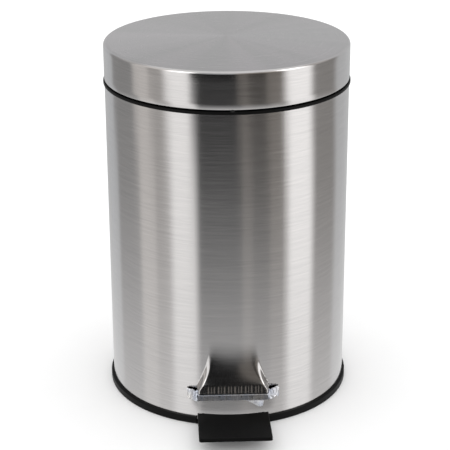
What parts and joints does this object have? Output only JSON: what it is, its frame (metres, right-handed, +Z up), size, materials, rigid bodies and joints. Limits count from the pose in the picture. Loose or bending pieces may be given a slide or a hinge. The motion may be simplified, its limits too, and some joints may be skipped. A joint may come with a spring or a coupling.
{
  "type": "pedal trash can",
  "caption": "Small round steel pedal bin: a foot pedal lifts a domed hinged lid through a lever and push rod; a plastic bucket with a wire bail lifts out.",
  "frame": {"origin": "centre of the foot ring's face, on the body's axis, at floor level", "axes": "+Z up, -Y towards the pedal, +Y towards the lid's hinge, +X to the right seen from the pedal's side"},
  "size_m": [0.1714, 0.2182, 0.2535],
  "materials": {
    "brushed_steel": "fine horizontal brushing, circular on the lid",
    "plated_steel": "bright zinc plating with a blue passivated tint",
    "wire_steel": "drawn wire, bright plated",
    "black_plastic": "fine satin moulded finish",
    "pedal_plastic": "fine textured moulded finish",
    "bucket_plastic": "satin polypropylene",
    "guide_plastic": "natural white nylon",
    "black_rubber": "matt"
  },
  "bodies": {
    "housing": {"body_shell": "brushed_steel", "top_ring": "black_plastic", "lid_bumpers": "black_rubber", "base_tray": "black_plastic", "foot_ring": "black_rubber", "lever_buffer": "black_rubber", "base_screws": "plated_steel", "pedal_bracket": "plated_steel", "bracket_screws": "plated_steel", "pedal_pin": "wire_steel", "pin_clips": "plated_steel", "rod_guide_lower": "guide_plastic", "rod_guide_upper": "guide_plastic", "hinge_bracket": "brushed_steel", "hinge_rivets": "brushed_steel", "hinge_pin": "wire_steel", "hinge_pin_caps": "black_plastic", "inner_bucket": "bucket_plastic"},
    "lid": {"lid_shell": "brushed_steel", "lid_hinge_leaf": "brushed_steel", "lid_lift_tab": "plated_steel", "lid_rivets": "brushed_steel"},
    "pedal": {"pedal_lever": "plated_steel", "pedal_pad": "pedal_plastic"},
    "push_rod": {"push_rod": "wire_steel", "rod_clips": "plated_steel"},
    "bail": {"bail_handle": "wire_steel", "bail_grip": "black_plastic"}
  },
  "joints": [
    {"name": "lid_hinge", "type": "hinge", "parent": "housing", "child": "lid", "pos_m": [0, 0.09, 0.231], "axis": [-1, 0, 0], "range_deg": [0, 75]},
    {"name": "pedal_pivot", "type": "hinge", "parent": "housing", "child": "pedal", "pos_m": [0, -0.0585, 0.0102], "axis": [1, 0, 0], "range_deg": [0, 7.05]},
    {"name": "rod_slide", "type": "slide", "parent": "housing", "child": "push_rod", "axis": [0, 0, 1], "range_m": [0, 0.01688]},
    {"name": "bail_swing", "type": "hinge", "parent": "housing", "child": "bail", "pos_m": [0, 0, 0.2296], "axis": [-1, 0, 0], "range_deg": [0, 14]}
  ],
  "couplings": [
    {"joint": "pedal_pivot", "follows": "lid_hinge", "ratio": 0.094},
    {"joint": "rod_slide", "follows": "lid_hinge", "m_per_rad": 0.012895}
  ]
}
